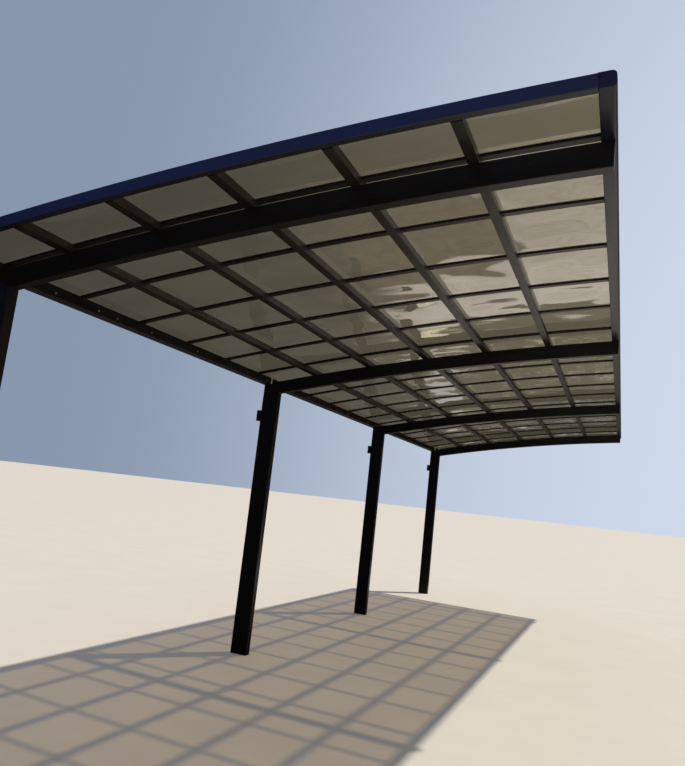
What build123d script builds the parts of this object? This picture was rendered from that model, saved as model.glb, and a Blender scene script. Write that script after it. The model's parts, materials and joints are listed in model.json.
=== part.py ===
from build123d import *
import math
import os

# Cantilever carport: four posts in a row, an arched main beam on each, five
# purlins, a rear gutter, edge beams and curved tinted roof sheets.
# Units are millimetres, +Z is up, +X points from the posts to the front edge
# of the roof, +Y runs along the row of posts. The origin is the centre of the
# foot of post_1.

os.makedirs("parts", exist_ok=True)

# ---- driving dimensions -------------------------------------------------
post_w = 165.0            # post section along X
post_d = 70.0             # post section along Y
bay = 3355.0              # post to post, 5.5 crossbar pitches
posts = 4

roof_set = 43.0           # the roof's zero line, in front of the posts' rear side
beam_h = 115.0            # main beam section, across the arch
beam_w = 60.0             # main beam section along Y

roof_z_rear = 2623.0      # underside of the sheets at the zero line
roof_z_front = 3122.0     # underside of the sheets at the front edge beam
roof_x_front = 3163.0     # inner face of the front edge beam, from the zero line
roof_radius = 25200.0     # radius of the sheets' underside

sheet_t = 3.0             # roof sheet
purlin_w = 50.0           # purlin along the slope
purlin_h = 46.0           # purlin below the sheets, on top of the main beams
purlin_x = (477.0, 1021.0, 1566.0, 2108.0, 2647.0)   # purlin centres from the zero line

bar_w = 40.0              # crossbar along Y
bar_h = 9.0               # crossbar below the sheets
bar_pitch = 610.0         # crossbar spacing, half a sheet's 1220 mm width
bar_first = 13.5          # first crossbar's centre from the centre of post_1
bars = 17

strip_w = 40.0            # cover strip on top of the sheets
strip_t = 3.0

edge_up = 18.0            # edge beams above the sheets' underside
edge_in = 14.0            # the sheets' grip in the edge beams
end_w = 38.0              # near and far end beams along Y
end_down = 43.0           # end beams below the sheets' underside
end_near = -409.0         # near face of the near end beam
end_far = (posts - 1) * bay + 409.0

front_w = 66.0            # front edge beam along X
front_down = 46.0         # front edge beam below the sheets' underside, on top of the main beams
front_nose = 16.0         # rounded lower outer corner
front_crown = 18.0        # rounded upper outer corner
edge_round = 3.0          # rounded long edges of the posts, brackets and front edge beam
edge_ease = 2.5           # bevelled long edges of the main beams and end beams
purlin_round = 2.5
gutter_round = 2.5

gutter_in = 28.0          # inner face of the gutter
gutter_out = -70.0        # outer face, behind the posts
gutter_floor = 2563.0     # underside of the gutter
gutter_t = 3.0
gutter_lip = 12.0
gutter_rise = 26.0        # the outer wall above the inner one
sheet_rear = 2.0          # rear edge of the sheets, above the trough

bracket_len = 50.0        # bracket behind the post
bracket_w = 50.0
bracket_h = 105.0
bracket_z = 2250.0

# ---- shared frame -------------------------------------------------------
x0 = roof_set - post_w / 2   # the roof's zero line, from the origin


def circle_centre():
    ax, az = 0.0, roof_z_rear
    bx, bz = roof_x_front, roof_z_front
    mx, mz = (ax + bx) / 2, (az + bz) / 2
    dx, dz = bx - ax, bz - az
    half = math.hypot(dx, dz) / 2
    h = math.sqrt(roof_radius ** 2 - half ** 2)
    n = math.hypot(dx, dz)
    return mx + h * dz / n, mz - h * dx / n


cx, cz = circle_centre()


def roof_z(x, off=0.0):
    """Height of the curve `off` above the sheets' underside at x from the zero line."""
    return cz + math.sqrt((roof_radius + off) ** 2 - (x - cx) ** 2)


def tilt(x):
    """Slope angle of the roof at x, in degrees (rises toward +X)."""
    return math.degrees(math.asin((cx - x) / roof_radius))


def xz(pts):
    return [(x0 + p[0], p[1]) for p in pts]


def band(xa, xb, lo, hi):
    """2-D arched band between two vertical cuts, offsets lo..hi from the sheets' underside."""
    a = (xa, roof_z(xa, hi)); b = (xb, roof_z(xb, hi)); m = ((xa + xb) / 2, roof_z((xa + xb) / 2, hi))
    c = (xb, roof_z(xb, lo)); d = (xa, roof_z(xa, lo)); n = ((xa + xb) / 2, roof_z((xa + xb) / 2, lo))
    a, b, m, c, d, n = xz([a, b, m, c, d, n])
    edges = [ThreePointArc(a, m, b), Line(b, c), ThreePointArc(c, n, d), Line(d, a)]
    return make_face(edges)


def box2(xa, xb, za, zb):
    p = xz([(xa, za), (xb, za), (xb, zb), (xa, zb)])
    return make_face(Polyline(*p, close=True))


def local_rect(xc, left, right, lo, hi):
    """Rectangle in the roof's own slope at xc: left/right along it, lo/hi across it."""
    t = math.radians(tilt(xc))
    ux, uz = math.cos(t), math.sin(t)
    nx, nz = -math.sin(t), math.cos(t)
    bx, bz = xc, roof_z(xc)
    pts = [(bx + a * ux + b * nx, bz + a * uz + b * nz) for a, b in
           ((left, lo), (right, lo), (right, hi), (left, hi))]
    return make_face(Polyline(*xz(pts), close=True))


def stand(face2d, ya, yb):
    """Turn a sketch drawn in X and Z into a solid from y=ya to y=yb."""
    plane = Plane((0, ya, 0), x_dir=(1, 0, 0), z_dir=(0, -1, 0))
    return extrude(plane * face2d, amount=-(yb - ya))


made = {}


def solids(shape):
    return list(shape.solids())


def keep(name, *shapes):
    out = []
    for s in shapes:
        out += solids(s)
    comp = Compound(children=out) if len(out) > 1 else out[0]
    made[name] = comp
    export_step(comp, os.path.join("parts", name + ".step"))
    return comp


# ---- sections in the X-Z plane -----------------------------------------
beam_end = roof_x_front + front_w - 8.0
beam_face = band(-roof_set, beam_end, -(purlin_h + beam_h), -purlin_h)
beam_notch = box2(-roof_set - 5.0, gutter_in, gutter_floor, gutter_floor + 80.0)
beam_face = beam_face - beam_notch

under_beam = band(-60.0, 400.0, -(purlin_h + beam_h), 300.0)
post_face = box2(-roof_set, post_w - roof_set, 0.0, 2600.0) - under_beam

under_sheet = band(200.0, roof_x_front - 100.0, -150.0, 0.0)


def round_corners(face, points, radius):
    """Round the corners of a sketch that lie nearest to the given points."""
    picked = []
    for px, pz in points:
        picked.append(min(face.vertices(), key=lambda v: (v.X - px) ** 2 + (v.Y - pz) ** 2))
    return fillet(picked, radius)


def local_pt(xc, along, across):
    t = math.radians(tilt(xc))
    return (x0 + xc + along * math.cos(t) - across * math.sin(t),
            roof_z(xc) + along * math.sin(t) + across * math.cos(t))


purlin_faces = []
for x in purlin_x:
    f = local_rect(x, -purlin_w / 2, purlin_w / 2, -purlin_h, 0.5) & under_sheet
    purlin_faces.append(round_corners(f, [local_pt(x, -purlin_w / 2, -purlin_h), local_pt(x, purlin_w / 2, -purlin_h)],
                                      purlin_round))

# front edge beam: box with a rounded nose and a groove for the sheets
tf = math.radians(tilt(roof_x_front))


def front_pt(a, b):
    return (roof_x_front + a * math.cos(tf) - b * math.sin(tf),
            roof_z(roof_x_front) + a * math.sin(tf) + b * math.cos(tf))


def front_section():
    corners = xz([front_pt(0, edge_up), front_pt(0, -front_down), front_pt(front_w, -front_down), front_pt(front_w, edge_up)])
    face = make_face(Polyline(*corners, close=True))
    face = round_corners(face, [corners[2]], front_nose)
    face = round_corners(face, [corners[3]], front_crown)
    face = round_corners(face, [corners[0], corners[1]], edge_round)
    groove = band(roof_x_front - 20.0, roof_x_front + edge_in * math.cos(tf), 0.0, sheet_t)
    return face - groove


front_face = front_section()
front_block = local_rect(roof_x_front, 0.0, front_w, -front_down - 2.0, edge_up + 2.0)

# sheets and crossbars between the gutter's inner wall and the front edge beam
sheet_front = roof_x_front + edge_in * math.cos(tf) - 1.0
sheet_face = band(sheet_rear, sheet_front, 0.0, sheet_t)
bar_face = band(gutter_in, roof_x_front + 3.0, -bar_h, 0.0)
for f in purlin_faces:
    bar_face = bar_face - f
bar_face = bar_face - front_block
strip_face = band(sheet_rear, roof_x_front + 3.0, sheet_t, sheet_t + strip_t) - front_block
end_face = band(gutter_in, roof_x_front + 3.0, -end_down, edge_up) - front_block

gutter_top = roof_z(gutter_in) - 0.5
gutter_back = gutter_top + gutter_rise
gutter_poly = xz([(gutter_out, gutter_floor), (gutter_in, gutter_floor), (gutter_in, gutter_top),
                  (gutter_in - gutter_t, gutter_top - 0.7), (gutter_in - gutter_t, gutter_floor + gutter_t),
                  (gutter_out + gutter_t, gutter_floor + gutter_t), (gutter_out + gutter_t, gutter_back - gutter_t),
                  (gutter_out + gutter_lip, gutter_back - gutter_t), (gutter_out + gutter_lip, gutter_back),
                  (gutter_out, gutter_back)])
gutter_low = xz([(gutter_out, gutter_floor), (gutter_in, gutter_floor)])
gutter_face = round_corners(make_face(Polyline(*gutter_poly, close=True)), gutter_low, gutter_round)
gutter_end = round_corners(make_face(Polyline(*xz([(gutter_out, gutter_floor), (gutter_in, gutter_floor),
                                                   (gutter_in, gutter_top), (gutter_out + gutter_lip, gutter_back),
                                                   (gutter_out, gutter_back)]), close=True)), gutter_low, gutter_round)

# ---- solids -------------------------------------------------------------
def ease_long(solid):
    """Take the sharp corner off the edges that follow the roof's arch."""
    return chamfer([e for e in solid.edges() if e.geom_type == GeomType.CIRCLE and e.radius > 1000.0], edge_ease)


for i in range(posts):
    y = i * bay
    post = stand(post_face, y - post_d / 2, y + post_d / 2)
    keep("post_%d" % (i + 1), fillet(post.edges().filter_by(Axis.Z), edge_round))
    keep("main_beam_%d" % (i + 1), ease_long(stand(beam_face, y - beam_w / 2, y + beam_w / 2)))
    stub = Pos(-post_w / 2 - bracket_len / 2, y, bracket_z) * Box(bracket_len, bracket_w, bracket_h)
    keep("wall_bracket_%d" % (i + 1), fillet(stub.edges().filter_by(Axis.X), edge_round))

run_a = end_near + end_w      # inner face of the near end beam
run_b = end_far - end_w
for j, f in enumerate(purlin_faces):
    keep("purlin_%d" % (j + 1), stand(f, run_a, run_b))

keep("front_edge_beam", stand(front_face, end_near, end_far))
keep("rear_gutter", stand(gutter_face, end_near, end_far) + stand(gutter_end, end_near, end_near + gutter_t)
     + stand(gutter_end, end_far - gutter_t, end_far))

for nm, ya, yb in (("near_end_beam", end_near, run_a), ("far_end_beam", run_b, end_far)):
    e = ease_long(stand(end_face, ya, yb))
    groove = stand(band(sheet_rear, sheet_front, 0.0, sheet_t),
                   ya if nm.startswith("far") else yb - edge_in, ya + edge_in if nm.startswith("far") else yb)
    keep(nm, e - groove)

# crossbars, cover strips and sheets, by bay
bar_y = [bar_first + k * bar_pitch for k in range(bars)]
groups = {1: bar_y[0:6], 2: bar_y[6:11], 3: bar_y[11:17]}
for g, ys in groups.items():
    keep("crossbars_bay_%d" % g, *[stand(bar_face, y - bar_w / 2, y + bar_w / 2) for y in ys])
    keep("cover_strips_bay_%d" % g, *[stand(strip_face, y - strip_w / 2, y + strip_w / 2) for y in ys])

gap = 4.0                      # expansion joint between two sheets, under the cover strip
cuts = [run_a - edge_in] + bar_y + [run_b + edge_in]
strips = []
for k in range(len(cuts) - 1):
    ya = cuts[k] + (gap / 2 if k else 1.0)
    yb = cuts[k + 1] - (gap / 2 if k < len(cuts) - 2 else 1.0)
    strips.append((ya, yb))
for k, (ya, yb) in enumerate(strips):
    keep("roof_sheet_%02d" % (k + 1), stand(sheet_face, ya, yb))

lo = [1e9] * 3; hi = [-1e9] * 3
for n, s in made.items():
    b = s.bounding_box()
    for a, (u, v) in enumerate(((b.min.X, b.max.X), (b.min.Y, b.max.Y), (b.min.Z, b.max.Z))):
        lo[a] = min(lo[a], u); hi[a] = max(hi[a], v)
print("nodes", len(made), "box", [round(v, 1) for v in lo], [round(v, 1) for v in hi])
print("arch centre", round(cx, 1), round(cz, 1), "tilt rear/front", round(tilt(0), 2), round(tilt(roof_x_front), 2))
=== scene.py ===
import bpy
import bmesh
import json
import math
import random
from mathutils import Vector, Matrix, noise


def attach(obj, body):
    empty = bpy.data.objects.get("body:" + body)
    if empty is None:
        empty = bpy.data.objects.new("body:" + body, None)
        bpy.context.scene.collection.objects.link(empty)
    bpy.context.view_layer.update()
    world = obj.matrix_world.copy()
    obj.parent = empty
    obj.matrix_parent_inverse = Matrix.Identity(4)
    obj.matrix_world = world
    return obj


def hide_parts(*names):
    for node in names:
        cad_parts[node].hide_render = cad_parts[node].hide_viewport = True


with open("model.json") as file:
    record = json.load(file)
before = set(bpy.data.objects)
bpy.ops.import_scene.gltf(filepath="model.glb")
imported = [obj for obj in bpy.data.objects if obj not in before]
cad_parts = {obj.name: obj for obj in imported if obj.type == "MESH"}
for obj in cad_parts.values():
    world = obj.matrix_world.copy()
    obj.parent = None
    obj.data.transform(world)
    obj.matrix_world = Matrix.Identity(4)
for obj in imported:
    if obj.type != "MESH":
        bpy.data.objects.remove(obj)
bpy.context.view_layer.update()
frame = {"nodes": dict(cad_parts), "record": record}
nodes = frame["nodes"]

# ---------------------------------------------------------------- dimensions
# The same driving dimensions as the CAD, in metres. x is measured from the
# roof's zero line, which lies at X0 in the shared frame.
X0 = -0.0395
BAY = 3.355
POST_W, POST_D = 0.165, 0.070
R = 25.2
Z_REAR, Z_FRONT, X_FRONT = 2.623, 3.122, 3.163
SHEET_T = 0.003
PURLIN_W, PURLIN_H = 0.050, 0.046
PURLIN_X = (0.477, 1.021, 1.566, 2.108, 2.647)
BAR_W, BAR_H, BAR_PITCH, BAR_FIRST, BARS = 0.040, 0.009, 0.610, 0.0135, 17
STRIP_T = 0.003
BEAM_H, BEAM_W = 0.115, 0.060
END_NEAR, END_FAR, END_W, EDGE_IN = -0.409, 10.474, 0.038, 0.014
EDGE_UP, END_DOWN = 0.018, 0.043
GUT_IN, GUT_OUT, GUT_FLOOR, SHEET_REAR = 0.028, -0.070, 2.563, 0.002
FRONT_W = 0.066
BRACKET_LEN, BRACKET_W, BRACKET_H, BRACKET_Z = 0.050, 0.050, 0.105, 2.250


def circle_centre():
    mx, mz = X_FRONT / 2, (Z_REAR + Z_FRONT) / 2
    dx, dz = X_FRONT, Z_FRONT - Z_REAR
    n = math.hypot(dx, dz)
    h = math.sqrt(R * R - n * n / 4)
    return mx + h * dz / n, mz - h * dx / n


CX, CZ = circle_centre()


def roof_z(x, off=0.0):
    return CZ + math.sqrt((R + off) ** 2 - (x - CX) ** 2)


def tilt(x):
    return math.asin((CX - x) / R)


def roof_point(x, y, off=0.0):
    """A point off metres above the sheets' underside, x along the roof, in the shared frame."""
    t = tilt(x)
    return Vector((X0 + x - off * math.sin(t), y, roof_z(x) + off * math.cos(t)))


def roof_normal(x):
    t = tilt(x)
    return Vector((-math.sin(t), 0, math.cos(t)))


# ---------------------------------------------------------------- materials
def new_mat(name):
    m = bpy.data.materials.new(name)
    m.use_nodes = True
    nt = m.node_tree
    for n in list(nt.nodes):
        nt.nodes.remove(n)
    out = nt.nodes.new("ShaderNodeOutputMaterial")
    return m, nt, out


def node(nt, kind, **props):
    n = nt.nodes.new(kind)
    for k, v in props.items():
        setattr(n, k, v)
    return n


def noise_tex(nt, vec, scale, detail=4.0, rough=0.55, distort=0.0):
    n = node(nt, "ShaderNodeTexNoise")
    n.inputs["Scale"].default_value = scale
    n.inputs["Detail"].default_value = detail
    n.inputs["Roughness"].default_value = rough
    n.inputs["Distortion"].default_value = distort
    nt.links.new(vec, n.inputs["Vector"])
    return n.outputs["Fac"]


def ramp(nt, fac, stops):
    n = node(nt, "ShaderNodeValToRGB")
    el = n.color_ramp.elements
    while len(el) > 1:
        el.remove(el[-1])
    el[0].position = stops[0][0]
    el[0].color = (*stops[0][1], 1)
    for p, c in stops[1:]:
        e = el.new(p)
        e.color = (*c, 1)
    nt.links.new(fac, n.inputs["Fac"])
    return n.outputs["Color"]


def maprange(nt, fac, a, b, c, d, smooth=False):
    n = node(nt, "ShaderNodeMapRange")
    if smooth:
        n.interpolation_type = "SMOOTHSTEP"
    n.inputs["From Min"].default_value = a
    n.inputs["From Max"].default_value = b
    n.inputs["To Min"].default_value = c
    n.inputs["To Max"].default_value = d
    nt.links.new(fac, n.inputs["Value"])
    return n.outputs["Result"]


def mix_col(nt, fac, a, b, mode="MIX"):
    n = node(nt, "ShaderNodeMix", data_type="RGBA", blend_type=mode)
    if isinstance(fac, (int, float)):
        n.inputs[0].default_value = fac
    else:
        nt.links.new(fac, n.inputs[0])
    for i, v in ((6, a), (7, b)):
        if isinstance(v, tuple):
            n.inputs[i].default_value = (*v, 1)
        else:
            nt.links.new(v, n.inputs[i])
    return n.outputs[2]


def math_node(nt, op, a, b=None):
    n = node(nt, "ShaderNodeMath", operation=op)
    for i, v in ((0, a), (1, b)):
        if v is None:
            continue
        if isinstance(v, (int, float)):
            n.inputs[i].default_value = v
        else:
            nt.links.new(v, n.inputs[i])
    return n.outputs[0]


def coords(nt, stretch=(1, 1, 1)):
    g = node(nt, "ShaderNodeTexCoord")
    m = node(nt, "ShaderNodeMapping")
    m.inputs["Scale"].default_value = stretch
    nt.links.new(g.outputs["Object"], m.inputs["Vector"])
    return m.outputs["Vector"]


def powder_coat(name, dark, light, rough=(0.24, 0.36), stretch=(1, 1, 1), dust=0.25, ior=1.28):
    """Semi-gloss powder coat: soft orange peel, a faint change of tone along the length, dust on faces that look up."""
    m, nt, out = new_mat(name)
    v = coords(nt)
    vs = coords(nt, stretch)
    tone = noise_tex(nt, vs, 2.3, 5, 0.6)
    base = ramp(nt, tone, [(0.30, dark), (0.70, light)])
    # faint water marks and scuffs
    marks = noise_tex(nt, vs, 13.0, 5, 0.6)
    base = mix_col(nt, maprange(nt, marks, 0.58, 0.82, 0.0, 0.22), base, tuple(c * 2.0 + 0.003 for c in light))
    # dust settles on what faces up
    geo = node(nt, "ShaderNodeNewGeometry")
    sep = node(nt, "ShaderNodeSeparateXYZ")
    nt.links.new(geo.outputs["Normal"], sep.inputs[0])
    up = maprange(nt, sep.outputs["Z"], 0.35, 0.95, 0.0, 1.0)
    dustn = noise_tex(nt, v, 9.0, 6, 0.65)
    dustf = math_node(nt, "MULTIPLY", up, maprange(nt, dustn, 0.35, 0.75, 0.1 * dust, dust * 2))
    base = mix_col(nt, dustf, base, (0.17, 0.15, 0.125))
    p = node(nt, "ShaderNodeBsdfPrincipled")
    nt.links.new(base, p.inputs["Base Color"])
    rn = noise_tex(nt, vs, 6.0, 4, 0.6)
    r = maprange(nt, rn, 0.3, 0.7, rough[0], rough[1])
    r = math_node(nt, "ADD", r, math_node(nt, "MULTIPLY", dustf, 0.5))
    nt.links.new(r, p.inputs["Roughness"])
    p.inputs["IOR"].default_value = ior
    peel = noise_tex(nt, v, 150.0, 2, 0.5)
    b = node(nt, "ShaderNodeBump")
    b.inputs["Strength"].default_value = 0.05
    b.inputs["Distance"].default_value = 0.0006
    nt.links.new(peel, b.inputs["Height"])
    nt.links.new(b.outputs["Normal"], p.inputs["Normal"])
    nt.links.new(p.outputs["BSDF"], out.inputs["Surface"])
    return m


def tinted_sheet(name):
    """Smoky brown solid polycarbonate: tinted light passes through, the lower face mirrors at a flat angle."""
    m, nt, out = new_mat(name)
    v = coords(nt)
    vs = coords(nt, (0.35, 1.0, 0.35))
    cloud = noise_tex(nt, vs, 3.1, 5, 0.6)
    tint = ramp(nt, cloud, [(0.30, (0.514, 0.453, 0.338)), (0.70, (0.570, 0.503, 0.377))])
    clear = node(nt, "ShaderNodeBsdfTransparent")
    nt.links.new(tint, clear.inputs["Color"])
    # a thin film of dust scatters a little light, with a few dried splashes
    haze = node(nt, "ShaderNodeBsdfDiffuse")
    haze.inputs["Color"].default_value = (0.30, 0.27, 0.20, 1)
    film = maprange(nt, noise_tex(nt, v, 6.0, 6, 0.65), 0.35, 0.75, 0.01, 0.05)
    geo = node(nt, "ShaderNodeNewGeometry")
    # the weathered upper side is dustier and duller than the lower one
    sep = node(nt, "ShaderNodeSeparateXYZ")
    nt.links.new(geo.outputs["Normal"], sep.inputs[0])
    up = maprange(nt, sep.outputs["Z"], 0.2, 0.6, 0.0, 1.0)
    grime = maprange(nt, noise_tex(nt, coords(nt, (0.5, 2.0, 0.5)), 4.0, 6, 0.65), 0.35, 0.75, 0.05, 0.14)
    film = math_node(nt, "ADD", film, math_node(nt, "MULTIPLY", up, grime))
    splash = maprange(nt, noise_tex(nt, v, 21.0, 3, 0.5, 0.6), 0.71, 0.76, 0.0, 0.22)
    body = node(nt, "ShaderNodeMixShader")
    nt.links.new(math_node(nt, "ADD", film, splash), body.inputs[0])
    nt.links.new(clear.outputs[0], body.inputs[1])
    nt.links.new(haze.outputs[0], body.inputs[2])
    shine = node(nt, "ShaderNodeBsdfGlossy")
    shine.inputs["Color"].default_value = (1.0, 0.97, 0.93, 1)
    rn = noise_tex(nt, v, 5.0, 3, 0.6)
    nt.links.new(math_node(nt, "ADD", maprange(nt, rn, 0.3, 0.7, 0.010, 0.035), math_node(nt, "MULTIPLY", up, 0.12)), shine.inputs["Roughness"])
    # fine drawing lines of the extruded sheet, along its length
    lines = noise_tex(nt, coords(nt, (1.1, 20.0, 1.1)), 1.0, 3, 0.55)
    b = node(nt, "ShaderNodeBump")
    b.inputs["Strength"].default_value = 1.0
    b.inputs["Distance"].default_value = 0.00014
    nt.links.new(lines, b.inputs["Height"])
    nt.links.new(b.outputs["Normal"], shine.inputs["Normal"])
    fres = node(nt, "ShaderNodeFresnel")
    fres.inputs["IOR"].default_value = 1.38
    front = math_node(nt, "SUBTRACT", 1.0, geo.outputs["Backfacing"])
    # a thin sheet reflects at both faces: 2F / (1 + F)
    slab = math_node(nt, "DIVIDE", math_node(nt, "MULTIPLY", fres.outputs[0], 2.0), math_node(nt, "ADD", fres.outputs[0], 1.0))
    fac = math_node(nt, "MULTIPLY", slab, math_node(nt, "MULTIPLY", front, maprange(nt, up, 0, 1, 1.0, 0.5)))
    top = node(nt, "ShaderNodeMixShader")
    nt.links.new(fac, top.inputs[0])
    nt.links.new(body.outputs[0], top.inputs[1])
    nt.links.new(shine.outputs[0], top.inputs[2])
    nt.links.new(top.outputs[0], out.inputs["Surface"])
    return m


def zinc(name):
    """Zinc-plated screws: dull bright metal with spots."""
    m, nt, out = new_mat(name)
    v = coords(nt)
    spot = noise_tex(nt, v, 420.0, 4, 0.6)
    base = ramp(nt, spot, [(0.30, (0.22, 0.21, 0.195)), (0.70, (0.35, 0.34, 0.315))])
    p = node(nt, "ShaderNodeBsdfPrincipled")
    nt.links.new(base, p.inputs["Base Color"])
    p.inputs["Metallic"].default_value = 1.0
    nt.links.new(maprange(nt, spot, 0.3, 0.7, 0.42, 0.28), p.inputs["Roughness"])
    nt.links.new(p.outputs["BSDF"], out.inputs["Surface"])
    return m


def silicone(name, dark, light):
    """A hand-run bead of sealant."""
    m, nt, out = new_mat(name)
    v = coords(nt)
    n1 = noise_tex(nt, v, 60.0, 4, 0.6)
    p = node(nt, "ShaderNodeBsdfPrincipled")
    nt.links.new(ramp(nt, n1, [(0.3, dark), (0.7, light)]), p.inputs["Base Color"])
    nt.links.new(maprange(nt, n1, 0.3, 0.7, 0.38, 0.52), p.inputs["Roughness"])
    b = node(nt, "ShaderNodeBump")
    b.inputs["Strength"].default_value = 0.3
    b.inputs["Distance"].default_value = 0.001
    nt.links.new(n1, b.inputs["Height"])
    nt.links.new(b.outputs["Normal"], p.inputs["Normal"])
    nt.links.new(p.outputs["BSDF"], out.inputs["Surface"])
    return m


M = {
    "post_paint": powder_coat("post_powder_coat", (0.0070, 0.0060, 0.0055), (0.0104, 0.0089, 0.0082), stretch=(1, 1, 0.15), ior=1.24),
    "beam_paint": powder_coat("beam_powder_coat", (0.0060, 0.0052, 0.0051), (0.0088, 0.0077, 0.0076), stretch=(0.2, 1, 1)),
    # the purlins' base is lighter and warmer than the beams': painted light for the sunlit ground their undersides
    # mirror
    "purlin_paint": powder_coat("purlin_powder_coat", (0.0096, 0.0074, 0.0054), (0.0142, 0.0110, 0.0082), stretch=(1, 0.1, 1)),
    # the front edge beam's bluish base is painted sky reflection
    "edge_paint": powder_coat("edge_powder_coat_painted_sky", (0.0054, 0.0050, 0.0088), (0.0080, 0.0074, 0.0130), stretch=(1, 0.1, 1), ior=1.30),
    "gutter_paint": powder_coat("gutter_powder_coat", (0.0046, 0.0041, 0.0034), (0.0070, 0.0062, 0.0052), stretch=(1, 0.1, 1), dust=0.5, ior=1.20),
    "trim_paint": powder_coat("trim_powder_coat", (0.0074, 0.0056, 0.0048), (0.0110, 0.0084, 0.0070), stretch=(0.2, 1, 1)),
}
# the end beams' outer faces mirror more of the sky, and their bluish base is painted sky reflection
END = powder_coat("end_powder_coat_painted_sky", (0.0058, 0.0058, 0.0096), (0.0086, 0.0086, 0.0142), stretch=(0.2, 1, 1), ior=1.40)
SHEET = tinted_sheet("tinted_polycarbonate")
ZINC = zinc("zinc_plate")
SEAL = silicone("pale_sealant", (0.50, 0.49, 0.46), (0.68, 0.67, 0.64))

for sp in frame["record"]["subparts"]:
    o = nodes.get(sp["node"])
    if o is None or sp["material_slot"] == "tinted_sheet":
        continue
    o.data.materials.clear()
    o.data.materials.append(END if sp["node"] in ("near_end_beam", "far_end_beam") else M[sp["material_slot"]])


# ---------------------------------------------------------------- helpers
def mesh_object(name, verts, faces, mat, smooth=True):
    me = bpy.data.meshes.new(name)
    me.from_pydata([tuple(v) for v in verts], [], faces)
    me.validate()
    me.update()
    o = bpy.data.objects.new(name, me)
    bpy.context.scene.collection.objects.link(o)
    me.materials.append(mat)
    if smooth:
        for p in me.polygons:
            p.use_smooth = True
    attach(o, "root")
    return o


def finish_mesh(o, angle=0.6):
    """Face normals out, and hard edges kept hard."""
    bm = bmesh.new()
    bm.from_mesh(o.data)
    bmesh.ops.recalc_face_normals(bm, faces=bm.faces)
    for e in bm.edges:
        if len(e.link_faces) == 2 and e.calc_face_angle(0) > angle:
            e.smooth = False
    bm.to_mesh(o.data)
    bm.free()


def frame_on(normal, hint=Vector((0, 1, 0))):
    n = normal.normalized()
    h = hint if abs(n.dot(hint.normalized())) < 0.95 else Vector((1, 0, 0))
    a = h.cross(n).normalized()
    return a, n.cross(a), n


def add_screw(verts, faces, at, normal, turn=0.0, size=1.0, seg=14):
    """A self-drilling screw: washer flange and a bevelled hexagon head."""
    a, b, n = frame_on(normal)

    def ring(radius, height, count, offset):
        i0 = len(verts)
        for k in range(count):
            t = offset + 2 * math.pi * k / count
            verts.append(at + (a * math.cos(t) + b * math.sin(t)) * radius * size + n * height * size)
        return list(range(i0, i0 + count))

    def skin(r1, r2):
        c = len(r1)
        for k in range(c):
            faces.append((r1[k], r1[(k + 1) % c], r2[(k + 1) % c], r2[k]))

    f0 = ring(0.0066, -0.0004, seg, 0)
    f1 = ring(0.0066, 0.0009, seg, 0)
    f2 = ring(0.0060, 0.0013, seg, 0)
    skin(f0, f1)
    skin(f1, f2)
    faces.append(tuple(f2))
    faces.append(tuple(reversed(f0)))
    h0 = ring(0.0046, 0.0010, 6, turn)
    h1 = ring(0.0046, 0.0042, 6, turn)
    h2 = ring(0.0040, 0.0048, 6, turn)
    skin(h0, h1)
    skin(h1, h2)
    faces.append(tuple(h2))
    faces.append(tuple(reversed(h0)))


def add_bead(verts, faces, path, radius, seed, seg=8):
    """A hand-run bead along a path: uneven radius, rounded ends."""
    n = len(path)
    rings = []
    for i, p in enumerate(path):
        d = (path[min(n - 1, i + 1)] - path[max(0, i - 1)]).normalized()
        a, b, c = frame_on(d, Vector((0.3, 0.2, 0.9)))
        t = i / (n - 1)
        end = math.sqrt(max(0.0, 1 - (2 * t - 1) ** 8))
        r = radius * max(0.12, end) * (1 + 0.35 * noise.noise(p * 60 + Vector((seed, 0, 0))))
        ring = []
        for k in range(seg):
            w = 2 * math.pi * k / seg
            ring.append(len(verts))
            verts.append(p + (a * math.cos(w) + b * math.sin(w)) * r)
        rings.append(ring)
    for i in range(n - 1):
        for k in range(seg):
            faces.append((rings[i][k], rings[i][(k + 1) % seg], rings[i + 1][(k + 1) % seg], rings[i + 1][k]))
    faces.append(tuple(reversed(rings[0])))
    faces.append(tuple(rings[-1]))


# ---------------------------------------------------------------- roof sheets
run_a, run_b = END_NEAR + END_W, END_FAR - END_W
bar_y = [BAR_FIRST + k * BAR_PITCH for k in range(BARS)]
cuts = [run_a - EDGE_IN] + bar_y + [run_b + EDGE_IN]
x_sheet_front = X_FRONT + EDGE_IN * math.cos(tilt(X_FRONT)) - 0.001
SUPPORT = [GUT_IN] + list(PURLIN_X) + [X_FRONT]


# how far some panes hang down (sheet, pane counted from the gutter), in metres
DISH = {(1, 5): -0.0008, (1, 6): -0.0006, (3, 5): -0.0068, (6, 5): -0.0010, (6, 6): -0.0012}


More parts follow.
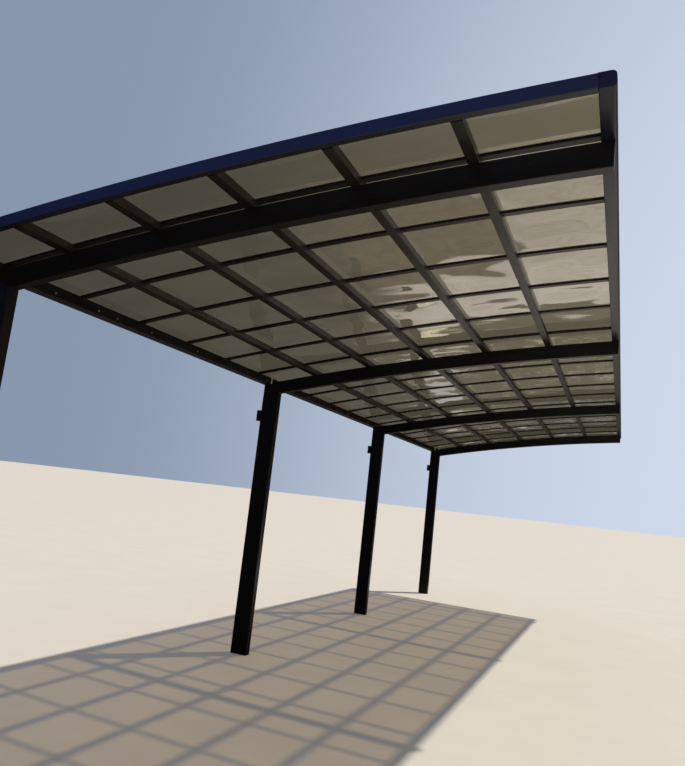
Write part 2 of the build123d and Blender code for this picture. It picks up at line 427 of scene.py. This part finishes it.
def sag(x, y, ya, yb, seed):
    """How far a sheet stands off its true curve, in metres: each pane is a shallow dish or crown, with softer waves."""
    t = min(1.0, max(0.0, (y - ya) / (yb - ya)))
    env = max(0.0, math.sin(math.pi * t)) ** 0.75
    pane = 0
    for s in SUPPORT:
        if x > s:
            pane += 1
    lo = SUPPORT[max(0, pane - 1)]
    hi = SUPPORT[min(len(SUPPORT) - 1, pane)]
    u = 0.5 if hi <= lo else min(1.0, max(0.0, (x - lo) / (hi - lo)))
    near = min(abs(x - s) for s in SUPPORT)
    hold = min(1.0, near / 0.13)
    hold = hold * hold * (3 - 2 * hold)
    rnd = random.Random(seed * 97 + pane * 13)
    dish = DISH.get((seed, pane), (rnd.random() - 0.55) * 0.0080) * math.sin(math.pi * u)
    lean = (rnd.random() - 0.5) * 0.0050 * math.sin(2 * math.pi * t) * math.sin(math.pi * u)
    a = noise.noise(Vector((x * 2.6 + seed * 7.3, y * 2.1, seed * 1.7)))
    b = noise.noise(Vector((x * 4.9 + 11.0, y * 4.6 + seed * 3.3, 5.0 + seed)))
    c = noise.noise(Vector((x * 1.1 + seed * 2.0, y * 9.0, 9.0)))
    calm = {1: 0.35, 6: 0.55}.get(seed, 1.0)
    return env * hold * (dish + calm * (lean + 0.0046 * a + 0.0022 * b) + 0.0006 * c)


def make_sheet(k, ya, yb):
    nx, ny = 150, max(10, int(round((yb - ya) / 0.026)))
    verts, faces = [], []
    xs = [SHEET_REAR + (x_sheet_front - SHEET_REAR) * i / nx for i in range(nx + 1)]
    ys = [ya + (yb - ya) * j / ny for j in range(ny + 1)]
    for off in (0.0, SHEET_T):
        for x in xs:
            for y in ys:
                verts.append(roof_point(x, y, off + sag(x, y, ya, yb, k + 1)))
    w = ny + 1
    n = (nx + 1) * w
    for i in range(nx):
        for j in range(ny):
            a = i * w + j
            faces.append((a, a + 1, a + w + 1, a + w))
            faces.append((n + a, n + a + w, n + a + w + 1, n + a + 1))
    for i in range(nx):
        a = i * w
        faces.append((a, a + w, n + a + w, n + a))
        a = i * w + ny
        faces.append((a, n + a, n + a + w, a + w))
    for j in range(ny):
        a = j
        faces.append((a, n + a, n + a + 1, a + 1))
        a = nx * w + j
        faces.append((a, a + 1, n + a + 1, n + a))
    o = mesh_object("sheet_%02d" % (k + 1), verts, faces, SHEET)
    finish_mesh(o)
    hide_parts("roof_sheet_%02d" % (k + 1))
    return o


GAP = 0.004
for k in range(len(cuts) - 1):
    ya = cuts[k] + (GAP / 2 if k else 0.001)
    yb = cuts[k + 1] - (GAP / 2 if k < len(cuts) - 2 else 0.001)
    make_sheet(k, ya, yb)

# ---------------------------------------------------------------- fixings
rng = random.Random(11)

# screws through the cover strips, about every 30 cm
verts, faces = [], []
for y in bar_y:
    count = 11
    for i in range(count):
        x = 0.06 + (X_FRONT - 0.12) * i / (count - 1)
        add_screw(verts, faces, roof_point(x, y + rng.uniform(-0.002, 0.002), SHEET_T + STRIP_T), roof_normal(x), rng.uniform(0, 1))
o = mesh_object("strip_screws", verts, faces, ZINC, smooth=False)
finish_mesh(o)

# screws along the inner side of the gutter
verts, faces = [], []
gutter_y = [0.396, 0.786, 0.976]
while gutter_y[-1] < END_FAR - 0.9:
    gutter_y.append(gutter_y[-1] + rng.choice((0.39, 0.62, 0.85)))
for yy in gutter_y:
    if min(abs(yy - i * BAY) for i in range(4)) < 0.06:
        continue
    add_screw(verts, faces, Vector((X0 + GUT_IN, yy, GUT_FLOOR + 0.024 + rng.uniform(-0.002, 0.002))), Vector((1, 0, 0)), rng.uniform(0, 1))
o = mesh_object("gutter_screws", verts, faces, ZINC, smooth=False)
finish_mesh(o)

# ---------------------------------------------------------------- sealant at the gutter where a beam enters it
verts, faces = [], []
for i, z0, z1 in ((1, 2.572, 2.627), (3, 2.575, 2.624)):
    y = i * BAY - BEAM_W / 2
    path = [Vector((X0 + GUT_IN + 0.003, y - 0.0035, z0 + (z1 - z0) * k / 24)) for k in range(25)]
    add_bead(verts, faces, path, 0.0048, 3.0 * i)
o = mesh_object("sealant_beads", verts, faces, SEAL)
finish_mesh(o, 1.2)

# ---------------------------------------------------------------- floor, light, camera
floor_me = bpy.data.meshes.new("floor")
s = 400.0
floor_me.from_pydata([(-s, -s, -0.001), (s, -s, -0.001), (s, s, -0.001), (-s, s, -0.001)], [], [(0, 1, 2, 3)])
floor = bpy.data.objects.new("floor", floor_me)
bpy.context.scene.collection.objects.link(floor)
fm, fnt, fout = new_mat("pale_floor")
fv = coords(fnt)
fsep = node(fnt, "ShaderNodeSeparateXYZ")
fnt.links.new(fv, fsep.inputs[0])
lp = node(fnt, "ShaderNodeLightPath")
pale = ramp(fnt, noise_tex(fnt, fv, 1.5, 5, 0.6), [(0.3, (0.425, 0.385, 0.325)), (0.7, (0.450, 0.410, 0.348))])
# what the carport mirrors, painted on the ground for reflected and bounced rays only: bright paving in front, painted
# roof shade as a darker brown zone under the carport (on top of the real sun shadow), darker ground behind the posts
# and beyond the far end
painted_shade_mask = math_node(fnt, "MULTIPLY", maprange(fnt, fsep.outputs["X"], 1.98, 2.10, 1, 0, True), maprange(fnt, fsep.outputs["Y"], 8.94, 9.06, 1, 0, True))
mirrored_ground_with_painted_light = mix_col(fnt, painted_shade_mask, (0.82, 0.785, 0.725), (0.45, 0.375, 0.265))
# painted reflection bands: a lighter brown band and a dark grey band across the mirrored ground shape what the near
# panes reflect
painted_band_mask = math_node(fnt, "MULTIPLY", maprange(fnt, fsep.outputs["Y"], 4.65, 4.75, 0, 1, True), maprange(fnt, fsep.outputs["Y"], 5.45, 5.65, 1, 0, True))
mirrored_ground_with_painted_light = mix_col(fnt, painted_band_mask, mirrored_ground_with_painted_light, (0.46, 0.405, 0.318))
painted_band_mask = math_node(fnt, "MULTIPLY", maprange(fnt, fsep.outputs["Y"], 3.10, 3.30, 0, 1, True), maprange(fnt, fsep.outputs["Y"], 4.55, 4.68, 1, 0, True))
mirrored_ground_with_painted_light = mix_col(fnt, painted_band_mask, mirrored_ground_with_painted_light, (0.17, 0.17, 0.19))
# painted shade: near-black ground behind the posts stands in for a shaded wall in what the left panes mirror
mirrored_ground_with_painted_light = mix_col(fnt, maprange(fnt, fsep.outputs["X"], -0.8, 0.3, 0, 1, True), (0.034, 0.027, 0.020), mirrored_ground_with_painted_light)
streaks = noise_tex(fnt, coords(fnt, (0.4, 1.9, 1.0)), 1.6, 6, 0.7)
mirrored_ground_with_painted_light = mix_col(fnt, maprange(fnt, streaks, 0.42, 0.60, 0, 0.55), mirrored_ground_with_painted_light, (0.60, 0.56, 0.50), "MULTIPLY")
fine = noise_tex(fnt, coords(fnt, (0.30, 3.0, 1.0)), 2.4, 4, 0.7)
mirrored_ground_with_painted_light = mix_col(fnt, maprange(fnt, fine, 0.42, 0.60, 0, 0.40), mirrored_ground_with_painted_light, (0.66, 0.63, 0.58), "MULTIPLY")
courses = node(fnt, "ShaderNodeTexWave", bands_direction="Y")
courses.inputs["Scale"].default_value = 1.5
courses.inputs["Distortion"].default_value = 2.2
courses.inputs["Detail"].default_value = 3.0
courses.inputs["Detail Scale"].default_value = 0.7
fnt.links.new(fv, courses.inputs["Vector"])
mirrored_ground_with_painted_light = mix_col(fnt, maprange(fnt, courses.outputs["Fac"], 0.1, 0.9, 0, 0.30, True), mirrored_ground_with_painted_light, (0.62, 0.58, 0.52), "MULTIPLY")
# painted reflection of the ground beyond the far end: dark garden ground with bright patches
painted_garden_reflection = mix_col(fnt, maprange(fnt, noise_tex(fnt, coords(fnt, (1.0, 1.6, 1.0)), 1.1, 4, 0.6), 0.58, 0.62, 0, 1, True), (0.050, 0.045, 0.024), (0.36, 0.33, 0.25))


def patch(cx, cy, rx, ry, wobble, soft, slant=0.0):
    """A mask of a rounded patch on the mirrored ground with an uneven outline."""
    oy = math_node(fnt, "SUBTRACT", fsep.outputs["Y"], cy)
    ox = math_node(fnt, "SUBTRACT", math_node(fnt, "SUBTRACT", fsep.outputs["X"], cx), math_node(fnt, "MULTIPLY", oy, slant))
    dx = math_node(fnt, "DIVIDE", ox, rx)
    dy = math_node(fnt, "DIVIDE", oy, ry)
    d = math_node(fnt, "ADD", math_node(fnt, "MULTIPLY", dx, dx), math_node(fnt, "MULTIPLY", dy, dy))
    d = math_node(fnt, "ADD", d, math_node(fnt, "MULTIPLY", noise_tex(fnt, fv, 1.6, 4, 0.6), wobble))
    return maprange(fnt, d, 1.0 + 0.5 * wobble - soft, 1.0 + 0.5 * wobble + soft, 1, 0, True)


# painted reflections of the scenery beyond: darker ground to the left, a far zone, a grey patch, two pale patches and a
# speckled patch of sunlit flowers
painted_garden_reflection = mix_col(fnt, maprange(fnt, fsep.outputs["X"], -1.7, -1.2, 1, 0, True), painted_garden_reflection, (0.030, 0.027, 0.022))
far = mix_col(fnt, maprange(fnt, noise_tex(fnt, coords(fnt, (0.8, 0.35, 1.0)), 1.0, 5, 0.6), 0.57, 0.60, 0, 1, True), (0.016, 0.013, 0.008), (0.34, 0.33, 0.32))
painted_garden_reflection = mix_col(fnt, maprange(fnt, fsep.outputs["Y"], 23.5, 24.5, 0, 1, True), painted_garden_reflection, far)
painted_garden_reflection = mix_col(fnt, patch(-0.86, 17.1, 0.36, 2.6, 0.5, 0.08, -0.06), painted_garden_reflection, (0.38, 0.375, 0.37))
painted_garden_reflection = mix_col(fnt, patch(0.06, 13.25, 0.34, 0.42, 0.5, 0.06), painted_garden_reflection, (0.46, 0.44, 0.41))
painted_garden_reflection = mix_col(fnt, patch(-0.62, 12.80, 0.24, 0.26, 0.5, 0.06, 0.5), painted_garden_reflection, (0.40, 0.39, 0.36))
painted_sunlit_speckle = mix_col(fnt, maprange(fnt, noise_tex(fnt, fv, 16.0, 3, 0.7), 0.44, 0.52, 0, 1), (0.50, 0.42, 0.20), (1.00, 0.95, 0.72))
painted_garden_reflection = mix_col(fnt, patch(0.04, 11.75, 0.33, 0.40, 0.12, 0.05), painted_garden_reflection, painted_sunlit_speckle)
edge = math_node(fnt, "SUBTRACT", fsep.outputs["Y"], math_node(fnt, "MULTIPLY", fsep.outputs["X"], 0.45))
mirrored_ground_with_painted_light = mix_col(fnt, maprange(fnt, edge, 11.12, 11.32, 0, 1, True), mirrored_ground_with_painted_light, painted_garden_reflection)
fp = node(fnt, "ShaderNodeBsdfPrincipled")
# camera rays see the plain pale floor; reflected and bounced rays see the painted ground with its painted light and
# shade
fnt.links.new(mix_col(fnt, lp.outputs["Is Camera Ray"], mirrored_ground_with_painted_light, pale), fp.inputs["Base Color"])
fp.inputs["Roughness"].default_value = 0.85
fp.inputs["Specular IOR Level"].default_value = 0.2
fp.inputs["Emission Color"].default_value = (1.0, 0.93, 0.82, 1)
fnt.links.new(math_node(fnt, "MULTIPLY", lp.outputs["Is Camera Ray"], 0.10), fp.inputs["Emission Strength"])
fnt.links.new(fp.outputs["BSDF"], fout.inputs["Surface"])
floor_me.materials.append(fm)

world = bpy.data.worlds.new("studio")
bpy.context.scene.world = world
world.use_nodes = True
wnt = world.node_tree
for n in list(wnt.nodes):
    wnt.nodes.remove(n)
wout = wnt.nodes.new("ShaderNodeOutputWorld")
wtc = node(wnt, "ShaderNodeTexCoord")
wsep = node(wnt, "ShaderNodeSeparateXYZ")
wnt.links.new(wtc.outputs["Generated"], wsep.inputs[0])
wlp = node(wnt, "ShaderNodeLightPath")
# how much a direction looks towards the light's side, from -1 to 1
side = math_node(wnt, "ADD", math_node(wnt, "MULTIPLY", wsep.outputs["X"], 0.6), math_node(wnt, "MULTIPLY", wsep.outputs["Y"], 0.8))
back = mix_col(wnt, maprange(wnt, side, 0.15, 0.9, 0, 1, True), (0.25, 0.31, 0.42), (0.62, 0.70, 0.83))
sky = mix_col(wnt, maprange(wnt, side, -0.5, 0.9, 0, 1, True), (0.14, 0.19, 0.34), (0.46, 0.53, 0.64))
low = mix_col(wnt, maprange(wnt, side, -0.2, 0.7, 0, 1, True), (0.024, 0.023, 0.023), (0.092, 0.082, 0.080))
navy = mix_col(wnt, maprange(wnt, side, -0.93, -0.78, 0, 1, True), (0.17, 0.28, 1.15), (0.14, 0.33, 1.45))
deep = mix_col(wnt, maprange(wnt, side, -0.62, -0.30, 0, 1, True), navy, (0.46, 0.52, 0.68))
deep = mix_col(wnt, maprange(wnt, wsep.outputs["Z"], 0.56, 0.66, 0, 1, True), deep, (0.46, 0.52, 0.68))
sky = mix_col(wnt, wlp.outputs["Is Glossy Ray"], sky, deep)
envc = mix_col(wnt, maprange(wnt, wsep.outputs["Z"], 0.23, 0.37, 0, 1, True), low, sky)
bg = wnt.nodes.new("ShaderNodeBackground")
wnt.links.new(mix_col(wnt, wlp.outputs["Is Camera Ray"], envc, back), bg.inputs["Color"])
bg.inputs["Strength"].default_value = 1.0
wnt.links.new(bg.outputs[0], wout.inputs["Surface"])

key = bpy.data.lights.new("key", "SUN")
key.energy = 4.6
key.angle = math.radians(1.3)
key.color = (1.0, 0.96, 0.89)
ko = bpy.data.objects.new("key", key)
bpy.context.scene.collection.objects.link(ko)
sun_dir = Vector((0.353, 0.47, 1.0)).normalized()       # towards the light
ko.rotation_euler = sun_dir.to_track_quat("Z", "Y").to_euler()

cam = bpy.data.cameras.new("camera")
cam.sensor_fit = "HORIZONTAL"
cam.sensor_width = 36.0
cam.lens = 36.0 * 708.55 / 685.0
cam.clip_end = 2000.0
co = bpy.data.objects.new("camera", cam)
bpy.context.scene.collection.objects.link(co)
yaw, pitch, roll = math.radians(-22.274), math.radians(9.048), math.radians(6.358)
fw = Vector((math.sin(yaw) * math.cos(pitch), math.cos(yaw) * math.cos(pitch), math.sin(pitch)))
r0 = Vector((math.cos(yaw), -math.sin(yaw), 0))
u0 = r0.cross(fw)
r = math.cos(roll) * r0 + math.sin(roll) * u0
u = -math.sin(roll) * r0 + math.cos(roll) * u0
mat = Matrix.Identity(4)
for i in range(3):
    mat[i][0], mat[i][1], mat[i][2] = r[i], u[i], -fw[i]
mat.translation = Vector((3.2739, -2.8467, 1.5516))
co.matrix_world = mat
bpy.context.scene.camera = co

bpy.context.scene.view_settings.view_transform = "Standard"
